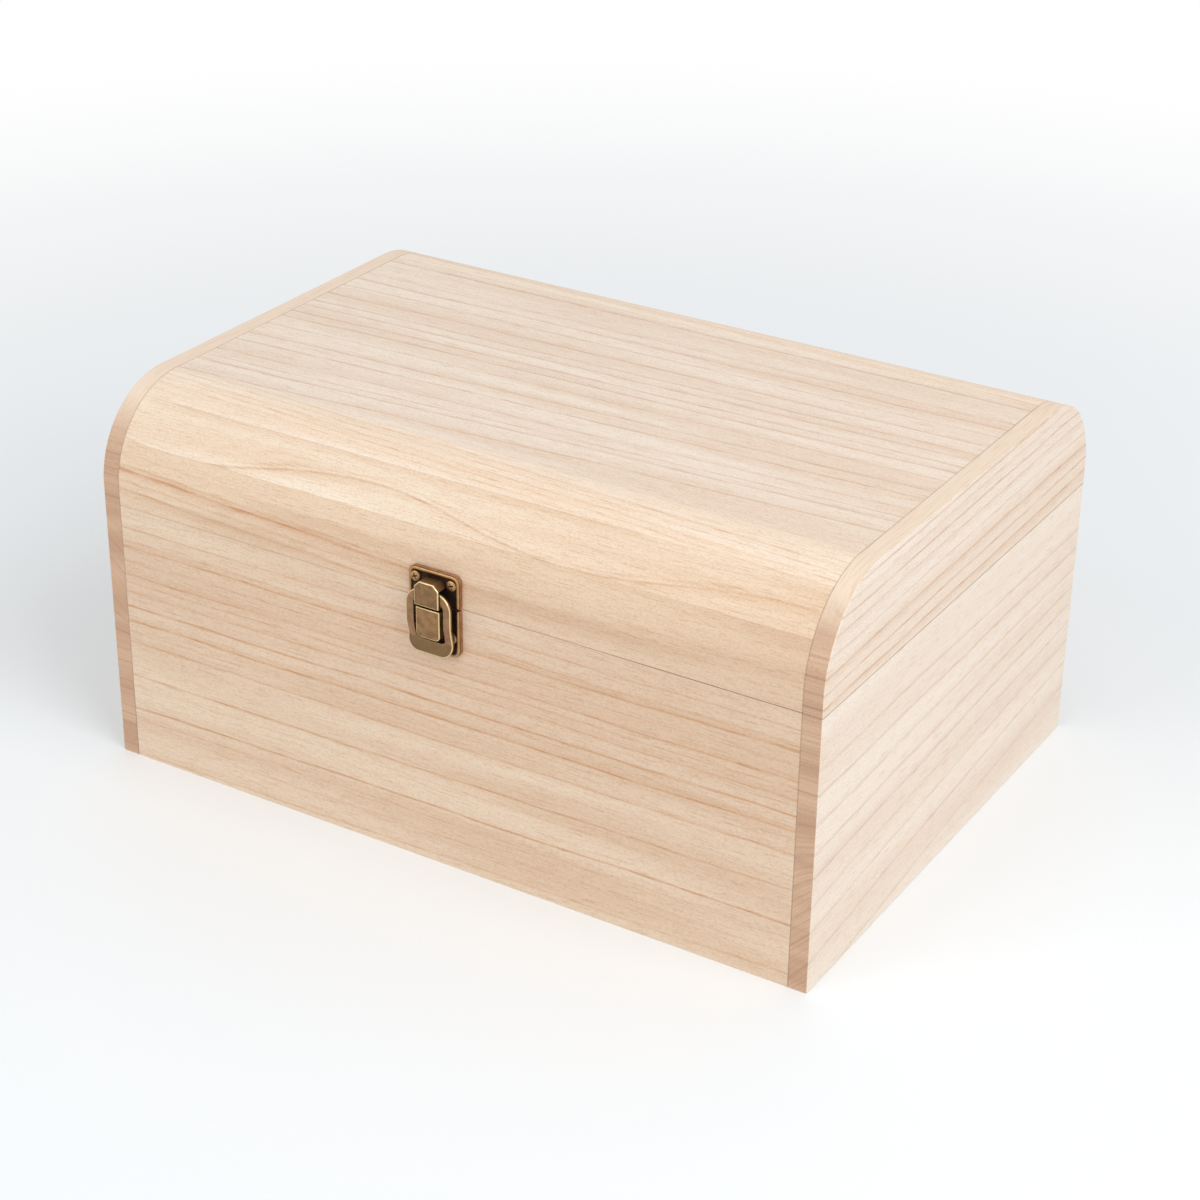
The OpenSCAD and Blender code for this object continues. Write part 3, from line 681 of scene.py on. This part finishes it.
def make_boards(finishes):
    """Makes the boards, with their edges rounded."""
    for node, material in finishes.items():
        mesh = skin(node)
        weight = mesh.edges.layers.float.new("bevel_weight_edge")
        for edge in mesh.edges:
            if sharp(edge, SHARP_ANGLE):
                edge[weight] = board_edge(edge)
        soften(put(mesh, node, node + "_wood", material))


def outline_edges(mesh, facing):
    """Sharp edges between a face that looks along facing and one that doesn't."""
    found = []
    for edge in mesh.edges:
        if sharp(edge, WORN_ANGLE):
            least, most = sorted(face.normal.dot(facing) for face in edge.link_faces)
            if most > LOOKS_ALONG and least < LOOKS_AWAY:
                found.append(edge)
    return found


def bevel_worn(mesh, edges, width, segments, about=None):
    """Rounds edges and marks the new faces as worn, but less so those that look towards about."""
    made = bmesh.ops.bevel(mesh, geom=edges, offset=width, offset_type="OFFSET", affect="EDGES",
                           segments=segments, profile=0.5, material=-1, clamp_overlap=False)
    worn = mesh.faces.layers.float.get("worn")
    for face in made["faces"]:
        face[worn] = 1.0
        if about:
            away = face.calc_center_median() - about
            if away.x * face.normal.x + away.z * face.normal.z < 0:
                face[worn] = INNER_WEAR


def islands(mesh):
    """The faces of each closed part of a mesh."""
    left = set(mesh.faces)
    found = []
    while left:
        start = left.pop()
        island = {start}
        to_visit = [start]
        while to_visit:
            for edge in to_visit.pop().edges:
                for face in edge.link_faces:
                    if face in left:
                        left.discard(face)
                        island.add(face)
                        to_visit.append(face)
        found.append(island)
    return found


def darken_crosses(mesh, facing):
    """Marks the cross cut into each screw's head, which looks along facing."""
    dark = mesh.faces.layers.float.get("dark")
    for screw in islands(mesh):
        corners = [vert.co for face in screw for vert in face.verts]
        top = max(corner.dot(facing) for corner in corners)
        low = Vector([min(corner[i] for corner in corners) for i in range(3)])
        high = Vector([max(corner[i] for corner in corners) for i in range(3)])
        axis = (low + high) / 2
        for face in screw:
            at = face.calc_center_median()
            depth = top - at.dot(facing)
            reach = math.hypot(at.x - axis.x, at.z - axis.z)
            if CROSS_DEPTHS[0] < depth < CROSS_DEPTHS[1] and reach < CROSS_REACH:
                face[dark] = 1.0


def make_metal(finishes):
    """Makes the metal pieces, with worn edges and dark crosses in the screws' heads."""
    for node, material in finishes.items():
        mesh = skin(node)
        mesh.faces.layers.float.new("worn")
        mesh.faces.layers.float.new("dark")
        if node in WORN_EDGES:
            low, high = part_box(node)
            bevel_worn(mesh, outline_edges(mesh, OUTWARDS), WORN_EDGES[node] * MM, segments=3,
                       about=(low + high) / 2)
        elif "leaf" in node:
            edges = [edge for edge in outline_edges(mesh, -OUTWARDS)
                     if edge.calc_length() > LEAF_SHORTEST * MM]
            bevel_worn(mesh, edges, LEAF_EDGE * MM, segments=2)
        elif "screws" in node:
            darken_crosses(mesh, -OUTWARDS if "hinge" in node else OUTWARDS)
        put(mesh, node, node + "_metal", material)


# ---- Floor, light and camera ----

# The floor's radius in metres, and where it goes over into the backdrop, in millimetres
FLOOR_RADIUS = 12
FLOOR_FADE = (350, 1200)

# The world's light on the object, where 1 is white
WORLD_LIGHT = 0.62

# What the lamps are turned to: a little below the middle of the box
LAMP_AIM = Vector((0, 0, 0.08))


def make_floor():
    """A pale floor, which goes over into the white backdrop far from the box."""
    paint = Paint(bpy.data.materials.new("pale_floor"))
    x, y, _ = paint.place()
    far = paint.step((x * x + y * y) ** 0.5, *FLOOR_FADE)
    glow = paint.node("ShaderNodeEmission", sockets={"Color": WHITE, "Strength": 1.0})
    paint.set(Base_Color=srgb(243, 247, 250), Roughness=0.55)
    paint.fade_to(glow, far * paint.seen())
    mesh = bmesh.new()
    bmesh.ops.create_circle(mesh, cap_ends=True, segments=96, radius=FLOOR_RADIUS)
    make_object(mesh, "floor", paint.owner)


def make_world():
    """Even light from all round, with a white backdrop for the rays that show it."""
    world = bpy.data.worlds.new("studio")
    bpy.context.scene.world = world
    paint = Paint(world, "Background", "World Output")
    glow = paint.node("ShaderNodeBackground", sockets={"Color": WHITE, "Strength": 1.0})
    paint.set(Color=WHITE, Strength=WORLD_LIGHT)
    paint.fade_to(glow, paint.seen())


def make_lamp(name, place, size, power):
    """A square lamp, with its place and size in metres and its power in watts."""
    lamp = bpy.data.lights.new(name, "AREA")
    lamp.size = size
    lamp.energy = power
    holder = bpy.data.objects.new(name, lamp)
    bpy.context.scene.collection.objects.link(holder)
    holder.location = place
    holder.rotation_euler = (Vector(place) - LAMP_AIM).to_track_quat("Z", "Y").to_euler()


def make_camera():
    """The photographed view: a long lens, a little above the box and to its right."""
    place = (0.57070, -0.93920, 0.64265)
    right = Vector((0.85136, 0.52442, 0.01283)).normalized()
    forward = Vector((-0.46065, 0.75908, -0.46000)).normalized()
    focal_px = 2686.3
    frame_px = 1200
    lens = bpy.data.cameras.new("camera")
    lens.sensor_width = 36.0
    lens.lens = focal_px / frame_px * lens.sensor_width
    camera = bpy.data.objects.new("camera", lens)
    bpy.context.scene.collection.objects.link(camera)
    turn = Matrix((right, right.cross(forward), -forward)).transposed().to_4x4()
    camera.matrix_world = Matrix.Translation(place) @ turn
    bpy.context.scene.camera = camera


make_boards(wood_finishes())
make_metal(metal_finishes())
make_floor()
make_world()
make_lamp("key_light", place=(1.5, -0.5, 1.5), size=1.4, power=22)
make_lamp("front_light", place=(-0.7, -1.7, 1.2), size=1.2, power=9)
make_camera()
bpy.context.scene.view_settings.view_transform = "Standard"
